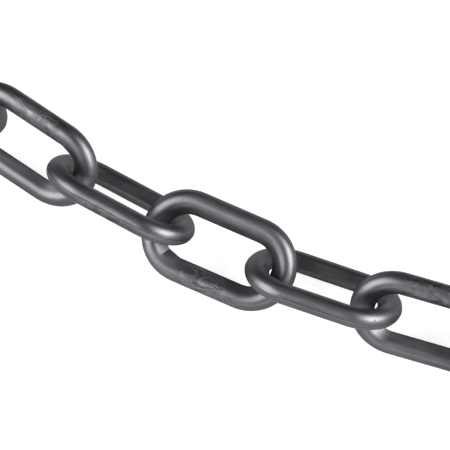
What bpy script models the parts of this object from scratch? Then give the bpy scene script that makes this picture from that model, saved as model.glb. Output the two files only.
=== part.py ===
"""A strand of heavy moulded plastic chain, about a metre of long links, lying on a level floor.

Each link is one moulded loop: a long oval of constant section, round on its outer side, with two
flats on its inner side that meet squarely in a narrow ridge.
The links lie alternately at +45 and -45 degrees or so about the strand, as slack chain settles,
and the strand keeps the shallow curve that it hangs in.
"""

from math import asinh, atan, cos, hypot, pi, radians, sin

import bpy
from mathutils import Matrix

LINKS = 23
MIDDLE = 12
OUTER_RADIUS = 0.00405
RIDGE_REACH = 0.0055
LINK_LENGTH = 0.0620
LINK_WIDTH = 0.0365
FLAT_STEP = radians(22.5)
INNER_FLAT = radians(135.0)
BEND_STEPS = 10
CONTACT_GAP = 0.0006
ROLL = radians(45.0)
SAG_CONSTANT = 10.6
# Links that lie a little otherwise: roll and turn in degrees, then shift in x, y and height
UNEVEN_LIES = {
    5: (51.2, -1.4, 0.00015, 0.0004, 0.0),
    6: (-53.7, 0.25, 0.0, 0.0, 0.0),
    7: (29.1, 0.75, -0.00015, -0.00045, 0.00385),
    8: (-45.3, 1.1, 0.00035, 0.0009, 0.0004),
    9: (51.6, -1.0, 0.0002, 0.0005, 0.0),
    10: (-49.25, -0.75, 0.00005, 0.00015, 0.0),
}
SECTION_DEPTH = OUTER_RADIUS + RIDGE_REACH
PITCH = LINK_LENGTH - 2 * SECTION_DEPTH - CONTACT_GAP
BEND_RADIUS = LINK_WIDTH / 2 - OUTER_RADIUS
HALF_STRAIGHT = (LINK_LENGTH - LINK_WIDTH) / 2


def clear_scene():
    for obj in list(bpy.data.objects):
        bpy.data.objects.remove(obj)


def new_collection(name, hidden):
    collection = bpy.data.collections.new(name)
    collection.hide_render = hidden
    bpy.context.scene.collection.children.link(collection)
    return collection


def plastic():
    """Grey plastic with a satin metallic pigment."""
    material = bpy.data.materials.new("grey_plastic")
    material.use_nodes = True
    shader = material.node_tree.nodes["Principled BSDF"]
    shader.inputs["Base Color"].default_value = (0.13, 0.135, 0.145, 1.0)
    shader.inputs["Metallic"].default_value = 0.35
    shader.inputs["Roughness"].default_value = 0.38
    return material


def closed_line(data, places):
    spline = data.splines.new("POLY")
    spline.points.add(len(places) - 1)
    for point, (x, y) in zip(spline.points, places):
        point.co = (x, y, 0.0, 1.0)
    spline.use_cyclic_u = True


def section_places():
    """The section's corners: flats round the wire, the last two squarely in to the ridge's narrow land."""
    half_land = OUTER_RADIUS * 2**0.5 - RIDGE_REACH
    places = [(RIDGE_REACH, half_land), (RIDGE_REACH, -half_land)]
    corner_radius = OUTER_RADIUS / cos(FLAT_STEP / 2)
    for step in range(12):
        angle = -INNER_FLAT + FLAT_STEP / 2 + step * FLAT_STEP
        places.append((-corner_radius * cos(angle), corner_radius * sin(angle)))
    return places


def centre_places():
    """The closed centre line of one link, in the XY plane with its long side on X."""
    places = []
    for end in (1, -1):
        for step in range(BEND_STEPS + 1):
            angle = end * -pi / 2 + pi * step / BEND_STEPS
            places.append((end * HALF_STRAIGHT + BEND_RADIUS * cos(angle), BEND_RADIUS * sin(angle)))
    return places


def link_mesh(helpers):
    """The mesh that all the links share: the section swept round the centre line."""
    section_data = bpy.data.curves.new("link_section", "CURVE")
    section_data.dimensions = "2D"
    closed_line(section_data, section_places())
    section = bpy.data.objects.new("link_section", section_data)
    section.hide_render = True
    section.display_type = "WIRE"
    helpers.objects.link(section)
    sweep_data = bpy.data.curves.new("link_sweep", "CURVE")
    sweep_data.dimensions = "2D"
    sweep_data.bevel_mode = "OBJECT"
    sweep_data.bevel_object = section
    closed_line(sweep_data, centre_places())
    sweep = bpy.data.objects.new("link_sweep", sweep_data)
    helpers.objects.link(sweep)
    bpy.context.view_layer.update()
    graph = bpy.context.evaluated_depsgraph_get()
    mesh = bpy.data.meshes.new_from_object(sweep.evaluated_get(graph))
    mesh.name = "link"
    bpy.data.objects.remove(sweep)
    return mesh


def lay_of(index):
    """Where one link lies, along a hanging curve laid on the floor: x, y, lift, heading and roll."""
    steps = index - MIDDLE
    x = SAG_CONSTANT * asinh(steps / SAG_CONSTANT) * PITCH
    y = (hypot(SAG_CONSTANT, steps) - SAG_CONSTANT) * PITCH
    heading = atan(steps / SAG_CONSTANT)
    roll = ROLL if index % 2 else -ROLL
    if index not in UNEVEN_LIES:
        return x, y, 0.0, heading, roll
    degrees, turn, shift_x, shift_y, lift = UNEVEN_LIES[index]
    return x + shift_x, y + shift_y, lift, heading + radians(turn), radians(degrees)


def main():
    clear_scene()
    chain = new_collection("plastic_chain", False)
    helpers = new_collection("helpers", True)
    mesh = link_mesh(helpers)
    mesh.materials.clear()
    mesh.materials.append(plastic())
    places = {}
    depths = []
    for index in range(1, LINKS + 1):
        x, y, lift, heading, roll = lay_of(index)
        turn = Matrix.Rotation(heading, 4, "Z") @ Matrix.Rotation(roll, 4, "X")
        corners = [turn @ vertex.co for vertex in mesh.vertices]
        height = lift - min(corner.z for corner in corners)
        depths += [y + corner.y for corner in corners]
        places[index] = Matrix.Translation((x, y, height)) @ turn
    centring = Matrix.Translation((0.0, -(min(depths) + max(depths)) / 2, 0.0))
    for index, place in places.items():
        link = bpy.data.objects.new(f"link_{index:02d}", mesh)
        link.matrix_world = centring @ place
        chain.objects.link(link)


main()
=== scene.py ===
from math import asin, atan, atan2, cos, hypot, pi, radians, sin

import bmesh
import bpy
from mathutils import Matrix, Vector


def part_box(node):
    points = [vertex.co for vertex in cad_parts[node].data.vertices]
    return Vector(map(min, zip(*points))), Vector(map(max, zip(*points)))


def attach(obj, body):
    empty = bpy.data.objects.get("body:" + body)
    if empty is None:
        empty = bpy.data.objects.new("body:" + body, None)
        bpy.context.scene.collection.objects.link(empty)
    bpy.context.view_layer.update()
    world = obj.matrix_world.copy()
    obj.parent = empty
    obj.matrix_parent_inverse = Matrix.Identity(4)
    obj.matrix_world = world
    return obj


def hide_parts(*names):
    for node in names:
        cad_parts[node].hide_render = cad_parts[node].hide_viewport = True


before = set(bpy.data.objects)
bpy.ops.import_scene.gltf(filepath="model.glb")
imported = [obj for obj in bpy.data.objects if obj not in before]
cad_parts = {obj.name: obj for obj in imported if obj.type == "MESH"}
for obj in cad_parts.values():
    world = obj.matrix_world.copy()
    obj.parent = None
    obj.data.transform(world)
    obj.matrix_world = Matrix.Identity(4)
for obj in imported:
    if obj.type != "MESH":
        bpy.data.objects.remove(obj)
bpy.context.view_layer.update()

# The links: closed loops of grey plastic, each moulded in two halves round the next. The wire is 8.1 mm
# thick and round on its outer side, with a thin bead from the mould's parting line. On its inner side two
# long flats meet in a ridge, and one bend has a small flat of its own.
THICK = 0.0081
LINK_LENGTH = 0.0620
LINK_WIDTH = 0.0365
FLAT_START = radians(135.0)
RIDGE_ROUND = 0.00055
RIDGE_SEGMENTS = 4
BEAD_HALF = 0.0002
BEAD_HEIGHT = 0.00009
BEAD_SEGMENTS = 2
SECTION_STEPS = 36
BEND_STEPS = 36
LEG_STEPS = 10
NEAR = 1e-6
MIDDLE_NEAR = 1e-5
OFF_TURN = radians(35.0)
TURN_SLACK = 1e-3
INNER_SHARE = 0.3
bend_radius = (LINK_WIDTH - THICK) / 2
half_leg = (LINK_LENGTH - LINK_WIDTH) / 2
inner_reach = bend_radius - THICK * INNER_SHARE


def section_ring(shape):
    """The section as a closed loop of edges, across the lower leg at the link's middle."""
    inward = -bend_radius - THICK / 2 * cos(FLAT_START)
    first = shape.verts.new((0.0, inward, THICK / 2 * sin(FLAT_START)))
    made = bmesh.ops.spin(
        shape,
        geom=[first],
        cent=(0.0, -bend_radius, 0.0),
        axis=(1.0, 0.0, 0.0),
        angle=2 * FLAT_START,
        steps=SECTION_STEPS,
    )["geom_last"]
    last = [g for g in made if isinstance(g, bmesh.types.BMVert)][0]
    tip = shape.verts.new((0.0, -bend_radius + THICK / 2 * 2**0.5, 0.0))
    shape.edges.new((first, tip))
    shape.edges.new((tip, last))
    bevelled_corner(shape, tip, RIDGE_ROUND, RIDGE_SEGMENTS)
    crown = min(shape.verts, key=lambda v: v.co.y)
    bevelled_corner(shape, crown, BEAD_HALF, BEAD_SEGMENTS)
    crown = min(shape.verts, key=lambda v: v.co.y + abs(v.co.z))
    bmesh.ops.translate(shape, verts=[crown], vec=(0.0, -BEAD_HEIGHT, 0.0))


def bevelled_corner(shape, corner, offset, segments):
    bmesh.ops.bevel(
        shape, geom=[corner], affect="VERTICES", offset=offset, segments=segments, profile=0.5, material=-1
    )


def carried_on(shape, front, step):
    """The open end of the wire drawn on along X."""
    made = bmesh.ops.extrude_edge_only(shape, edges=front)["geom"]
    corners = [g for g in made if isinstance(g, bmesh.types.BMVert)]
    bmesh.ops.translate(shape, verts=corners, vec=(step, 0.0, 0.0))
    return [g for g in made if isinstance(g, bmesh.types.BMEdge)]


def turn_round(place, side):
    """How far round the bend with the flat a place on the wire's inner side lies, or None elsewhere."""
    past = side * place.x - half_leg
    over = side * place.y
    if over < 0 or hypot(past, over) > inner_reach:
        return None
    return atan2(past, over)


def face_off(shape, side):
    """The flat that the mould leaves on the inner side of one bend, with a crisp far edge."""
    for v in shape.verts:
        turn = turn_round(v.co, side)
        if turn is None or not -TURN_SLACK < turn < OFF_TURN + TURN_SLACK:
            continue
        shorter = cos(OFF_TURN / 2) / cos(turn - OFF_TURN / 2)
        v.co.x = side * (half_leg + (side * v.co.x - half_leg) * shorter)
        v.co.y *= shorter
    for edge in shape.edges:
        start, end = [v.co for v in edge.verts]
        turn = turn_round((start + end) / 2, side)
        if turn is not None and abs(turn - OFF_TURN) < TURN_SLACK and abs(start.z - end.z) > NEAR:
            edge.smooth = False


def link_shape(side):
    """Half the link, from the middle of its lower leg round the bend to the upper leg, mirrored."""
    shape = bmesh.new()
    section_ring(shape)
    front = list(shape.edges)
    for step in range(LEG_STEPS):
        front = carried_on(shape, front, half_leg / LEG_STEPS)
    made = bmesh.ops.spin(
        shape,
        geom=front,
        cent=(half_leg, 0.0, 0.0),
        axis=(0.0, 0.0, 1.0),
        angle=pi,
        steps=BEND_STEPS,
    )["geom_last"]
    front = [g for g in made if isinstance(g, bmesh.types.BMEdge)]
    for step in range(LEG_STEPS):
        front = carried_on(shape, front, -half_leg / LEG_STEPS)
    whole = shape.verts[:] + shape.edges[:] + shape.faces[:]
    bmesh.ops.mirror(shape, geom=whole, axis="X", merge_dist=MIDDLE_NEAR)
    bmesh.ops.remove_doubles(shape, verts=shape.verts, dist=NEAR)
    bmesh.ops.recalc_face_normals(shape, faces=shape.faces)
    for face in shape.faces:
        face.smooth = True
    face_off(shape, side)
    return shape


# Where each corner lies on the wire: its place round the loop, which closes on itself, its place across
# the wire, and how near it is to the cloudy marks in the middle of one leg, where the melt flowed together.
LINK_APART = 0.05
MARKS_REACH = half_leg * 1.2
MARKS_EDGE = THICK / 3
loop_radius = (4 * half_leg + 2 * pi * bend_radius) / (2 * pi)


def wire_places(shape, number, marked_side):
    round_loop, across_wire, near_marks = [], [], []
    marked_face = 1 if number % 2 else -1
    for v in shape.verts:
        x, y, z = v.co
        past = x - max(-half_leg, min(half_leg, x))
        reach = hypot(past, y)
        upper = half_leg - abs(x) if past == 0 else 0.0
        round_end = bend_radius * asin(max(-1.0, min(1.0, y / reach)))
        along = round_end + (upper if y > 0 else -upper)
        if x < 0:
            along = pi * loop_radius - along
        angle = along / loop_radius
        round_loop += [loop_radius * cos(angle), loop_radius * sin(angle), z]
        across_wire.append(reach - bend_radius + number * LINK_APART)
        middle = max(0.0, 1.0 - (x / MARKS_REACH) ** 2)
        facing = max(0.0, min(1.0, 0.5 + marked_face * z / MARKS_EDGE))
        near_marks.append(middle * facing if y * marked_side > 0 else 0.0)
    return round_loop, across_wire, near_marks


# The plastic: a dark grey with a fine metallic pigment, drawn out in streaks round the link as it filled
# the mould. Its satin skin has cloudy marks with fine lines, scratches along the wire and a few pits. Along
# the parting a painted shade darkens a thin line, and a painted highlight lightens a thin line beside it.
DARK_GREY = (0.070, 0.069, 0.074, 1.0)
LIGHT_GREY = (0.250, 0.255, 0.272, 1.0)
GRAIN_SCALE = 1900.0
PIT_SCALE = 420.0
HIGHLIGHT_LINE_PLACE = 0.00046
RELIEF = 0.0002
RELIEF_STRENGTH = 0.6
material = bpy.data.materials.new("grey_plastic")
material.use_nodes = True
nodes = material.node_tree.nodes
wires = material.node_tree.links
shader = nodes["Principled BSDF"]
shader.inputs["Metallic"].default_value = 1.0


def reading(name, output):
    made = nodes.new("ShaderNodeAttribute")
    made.attribute_name = name
    return made.outputs[output]


def worked(operation, first, second=0.0):
    made = nodes.new("ShaderNodeMath")
    made.operation = operation
    for socket, value in zip(made.inputs, (first, second)):
        if isinstance(value, (int, float)):
            socket.default_value = value
        else:
            wires.new(value, socket)
    return made.outputs[0]


def ranged(value, low, high, least, most):
    made = nodes.new("ShaderNodeMapRange")
    wires.new(value, made.inputs["Value"])
    for name, number in zip(("From Min", "From Max", "To Min", "To Max"), (low, high, least, most)):
        made.inputs[name].default_value = number
    return made.outputs[0]


def spread(noise, low, high):
    """Noise stretched to run from -1 to 1 between two of its values."""
    return ranged(noise, low, high, -1.0, 1.0)


def mixed(*parts):
    """Masks added up, each by its share."""
    total = 0.0
    for mask, share in parts:
        total = worked("ADD", total, worked("MULTIPLY", mask, share))
    return total


def drawn_noise(along, over, detail, roughness, distortion):
    """Noise in four directions, so that it closes round the loop and round the wire."""
    stretched = nodes.new("ShaderNodeVectorMath")
    stretched.operation = "MULTIPLY"
    wires.new(reading("loop", "Vector"), stretched.inputs[0])
    stretched.inputs[1].default_value = (along, along, over)
    made = nodes.new("ShaderNodeTexNoise")
    made.noise_dimensions = "4D"
    wires.new(stretched.outputs[0], made.inputs["Vector"])
    wires.new(worked("MULTIPLY", reading("across", "Fac"), over), made.inputs["W"])
    made.inputs["Scale"].default_value = 1.0
    made.inputs["Detail"].default_value = detail
    made.inputs["Roughness"].default_value = roughness
    made.inputs["Distortion"].default_value = distortion
    return made.outputs["Fac"]


marks = reading("marks", "Fac")
streaks = drawn_noise(along=60.0, over=420.0, detail=5.0, roughness=0.6, distortion=0.2)
scratches = drawn_noise(along=45.0, over=1500.0, detail=2.0, roughness=0.5, distortion=0.1)
clouds = drawn_noise(along=130.0, over=220.0, detail=5.0, roughness=0.62, distortion=1.6)
blooms = drawn_noise(along=45.0, over=70.0, detail=2.0, roughness=0.5, distortion=0.3)
on_piece = nodes.new("ShaderNodeTexCoord").outputs["Object"]
grain = nodes.new("ShaderNodeTexNoise")
wires.new(on_piece, grain.inputs["Vector"])
grain.inputs["Scale"].default_value = GRAIN_SCALE
grain.inputs["Detail"].default_value = 3.0
pit_cells = nodes.new("ShaderNodeTexVoronoi")
wires.new(on_piece, pit_cells.inputs["Vector"])
pit_cells.inputs["Scale"].default_value = PIT_SCALE
pits = ranged(pit_cells.outputs["Distance"], 0.10, 0.22, 1.0, 0.0)
pits = worked("MULTIPLY", pits, ranged(blooms, 0.54, 0.62, 0.0, 1.0))
lines = ranged(worked("ABSOLUTE", worked("SUBTRACT", clouds, 0.5)), 0.004, 0.016, 1.0, 0.0)
lines = worked("MULTIPLY", lines, ranged(marks, 0.2, 0.6, 0.0, 1.0))
cloudy = worked("MULTIPLY", spread(clouds, 0.38, 0.62), marks)
raised_clouds = worked("MULTIPLY", clouds, marks)
scored = ranged(scratches, 0.66, 0.72, 0.0, 1.0)
off_plane = nodes.new("ShaderNodeSeparateXYZ")
wires.new(reading("loop", "Vector"), off_plane.inputs[0])
from_seam = worked("ABSOLUTE", off_plane.outputs["Z"])
# Painted shade: the colour is darkened in a thin line along the parting plane, where the groove by the bead
# falls into shade.
painted_seam_shade = ranged(from_seam, 0.00008, 0.00026, 1.0, 0.0)
# Painted highlight: a thin lighter line just below the parting on one side, where the bead's lower edge
# would catch the light.
from_painted_highlight = worked("ABSOLUTE", worked("ADD", off_plane.outputs["Z"], HIGHLIGHT_LINE_PLACE))
painted_lip_highlight = ranged(from_painted_highlight, 0.00010, 0.00024, 1.0, 0.0)

# The plastic's own tone from streaks, marks, blooms, fine lines, scratches and pits, with the painted seam
# shade and the painted highlight line mixed in.
tone_with_painted_seam_light = mixed(
    (spread(streaks, 0.35, 0.65), 0.22),
    (cloudy, 0.62),
    (spread(blooms, 0.35, 0.65), 0.15),
    (lines, 0.18),
    (scored, 0.25),
    (pits, -0.5),
    (painted_seam_shade, -0.7),
    (painted_lip_highlight, 0.35),
)
greys = nodes.new("ShaderNodeValToRGB")
wires.new(ranged(tone_with_painted_seam_light, -1.0, 1.0, 0.0, 1.0), greys.inputs["Fac"])
greys.color_ramp.elements[0].position = 0.1
greys.color_ramp.elements[0].color = DARK_GREY
greys.color_ramp.elements[1].position = 0.9
greys.color_ramp.elements[1].color = LIGHT_GREY
wires.new(greys.outputs["Color"], shader.inputs["Base Color"])

satin = mixed((ranged(streaks, 0.35, 0.65, 0.38, 0.46), 1.0), (cloudy, -0.06), (pits, 0.15))
wires.new(satin, shader.inputs["Roughness"])

height = mixed(
    (streaks, 0.5),
    (raised_clouds, 0.9),
    (lines, 0.22),
    (scored, -0.16),
    (pits, -0.45),
    (grain.outputs["Fac"], 0.12),
)
skin = nodes.new("ShaderNodeBump")
skin.inputs["Strength"].default_value = RELIEF_STRENGTH
skin.inputs["Distance"].default_value = RELIEF
wires.new(height, skin.inputs["Height"])
wires.new(skin.outputs["Normal"], shader.inputs["Normal"])

# The strand: 23 links laid down slack in a shallow curve, by turns about 45 degrees to the left and to
# the right of it. A few roll or turn a little otherwise, in degrees. The marks and the bend's flat change
# sides after every second link.
LINKS = 23
MIDDLE = 12
SAG_CONSTANT = 10.6
ROLL = 45.0
UNEVEN_LIES = {
    5: (51.2, -1.4),
    6: (-53.7, 0.25),
    7: (29.1, 0.75),
    8: (-45.3, 1.1),
    9: (51.6, -1.0),
    10: (-49.25, -0.75),
}
for number in range(1, LINKS + 1):
    name = f"link_{number:02d}"
    roll, turn = UNEVEN_LIES.get(number, (ROLL if number % 2 else -ROLL, 0.0))
    heading = atan((number - MIDDLE) / SAG_CONSTANT) + radians(turn)
    low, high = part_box(name)
    place = Matrix.Translation((Vector(low) + Vector(high)) / 2)
    place = place @ Matrix.Rotation(heading, 4, "Z") @ Matrix.Rotation(radians(roll), 4, "X")
    marked_side = -1 if (number // 2) % 2 else 1
    shape = link_shape(marked_side)
    round_loop, across_wire, near_marks = wire_places(shape, number, marked_side)
    bmesh.ops.transform(shape, matrix=place, verts=shape.verts)
    mesh = bpy.data.meshes.new(f"chain_{name}")
    shape.to_mesh(mesh)
    shape.free()
    mesh.attributes.new("loop", "FLOAT_VECTOR", "POINT").data.foreach_set("vector", round_loop)
    mesh.attributes.new("across", "FLOAT", "POINT").data.foreach_set("value", across_wire)
    mesh.attributes.new("marks", "FLOAT", "POINT").data.foreach_set("value", near_marks)
    mesh.materials.append(material)
    link = bpy.data.objects.new(f"chain_{name}", mesh)
    bpy.context.scene.collection.objects.link(link)
    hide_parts(name)
    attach(link, name)

# The floor: a plain pale studio table that the strand lies on. The camera sees it bright, and the links
# mirror it as a dim room.
FLOOR_SIDE = 12.0
FLOOR_CLEARANCE = 0.0002
SEEN_GREY = (0.35, 0.35, 0.35, 1.0)
SEEN_GLOW = 0.86
MIRRORED_GREY = (0.45, 0.45, 0.45, 1.0)
floor_shape = bmesh.new()
bmesh.ops.create_grid(floor_shape, x_segments=1, y_segments=1, size=FLOOR_SIDE / 2)
floor_mesh = bpy.data.meshes.new("floor")
floor_shape.to_mesh(floor_mesh)
floor_shape.free()
floor_material = bpy.data.materials.new("pale_floor")
floor_material.use_nodes = True
floor_nodes = floor_material.node_tree.nodes
floor_wires = floor_material.node_tree.links
floor_nodes.remove(floor_nodes["Principled BSDF"])
seen = floor_nodes.new("ShaderNodeBsdfDiffuse")
seen.inputs["Color"].default_value = SEEN_GREY
glow = floor_nodes.new("ShaderNodeEmission")
glow.inputs["Strength"].default_value = SEEN_GLOW
bright = floor_nodes.new("ShaderNodeAddShader")
floor_wires.new(seen.outputs[0], bright.inputs[0])
floor_wires.new(glow.outputs[0], bright.inputs[1])
mirrored = floor_nodes.new("ShaderNodeBsdfDiffuse")
mirrored.inputs["Color"].default_value = MIRRORED_GREY
rays = floor_nodes.new("ShaderNodeLightPath")
by_ray = floor_nodes.new("ShaderNodeMixShader")
floor_wires.new(rays.outputs["Is Camera Ray"], by_ray.inputs[0])
floor_wires.new(mirrored.outputs[0], by_ray.inputs[1])
floor_wires.new(bright.outputs[0], by_ray.inputs[2])
floor_wires.new(by_ray.outputs[0], floor_nodes["Material Output"].inputs["Surface"])
floor_mesh.materials.append(floor_material)
floor = bpy.data.objects.new("floor", floor_mesh)
floor.location.z = -FLOOR_CLEARANCE
bpy.context.scene.collection.objects.link(floor)

# The light: a large soft box on each side of the camera, a weak low one in front and a dim room. They
# aim at the part of the strand that the picture shows.
STRAND_AIM = Vector((-0.2, -0.08, 0.02))
BOX_DISTANCE = 2.0
SIDE_WATTS = 58.0
FRONT_WATTS = 12.0
ROOM_TINT = (1.0, 0.93, 1.04, 1.0)
ROOM_STRENGTH = 0.09


def soft_box(name, direction, sides, watts):
    lamp = bpy.data.lights.new(name, "AREA")
    lamp.shape = "RECTANGLE"
    lamp.size, lamp.size_y = sides
    lamp.energy = watts
    box = bpy.data.objects.new(name, lamp)
    box.location = STRAND_AIM + Vector(direction).normalized() * BOX_DISTANCE
    box.rotation_mode = "QUATERNION"
    box.rotation_quaternion = Vector(direction).to_track_quat("Z", "Y")
    bpy.context.scene.collection.objects.link(box)


soft_box("right_box", (0.78, -0.19, 0.595), (1.6, 1.3), SIDE_WATTS)
soft_box("left_box", (-0.80, -0.128, 0.589), (2.0, 2.0), SIDE_WATTS)
soft_box("front_box", (0.0, -0.978, 0.25), (2.5, 0.8), FRONT_WATTS)
room = bpy.data.worlds.new("room")
room.use_nodes = True
room_light = room.node_tree.nodes["Background"]
room_light.inputs["Color"].default_value = ROOM_TINT
room_light.inputs["Strength"].default_value = ROOM_STRENGTH
bpy.context.scene.world = room
bpy.context.scene.view_settings.view_transform = "Standard"

# The camera: square to the strand's span and 72 degrees above the table, far off with a long lens. It is
# set so that link_07's centre falls where the picture has it, in pixels from the picture's upper left.
ELEVATION = radians(72.0)
DISTANCE = 2.4
SENSOR = 36.0
PIXELS_PER_METRE = 2639.0
PICTURE_SIDE = 450.0
LINK_07_ACROSS = 219.1
LINK_07_DOWN = 250.2
low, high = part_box("link_07")
to_camera = Vector((0.0, -cos(ELEVATION), sin(ELEVATION)))
picture_up = Vector((0.0, sin(ELEVATION), cos(ELEVATION)))
aim = (Vector(low) + Vector(high)) / 2
aim.x += (PICTURE_SIDE / 2 - LINK_07_ACROSS) / PIXELS_PER_METRE
aim += picture_up * (LINK_07_DOWN - PICTURE_SIDE / 2) / PIXELS_PER_METRE
camera_data = bpy.data.cameras.new("camera")
camera_data.sensor_width = SENSOR
camera_data.lens = SENSOR * PIXELS_PER_METRE * DISTANCE / PICTURE_SIDE
camera = bpy.data.objects.new("camera", camera_data)
camera.location = aim + to_camera * DISTANCE
camera.rotation_mode = "QUATERNION"
camera.rotation_quaternion = (-to_camera).to_track_quat("-Z", "Y")
bpy.context.scene.collection.objects.link(camera)
bpy.context.scene.camera = camera
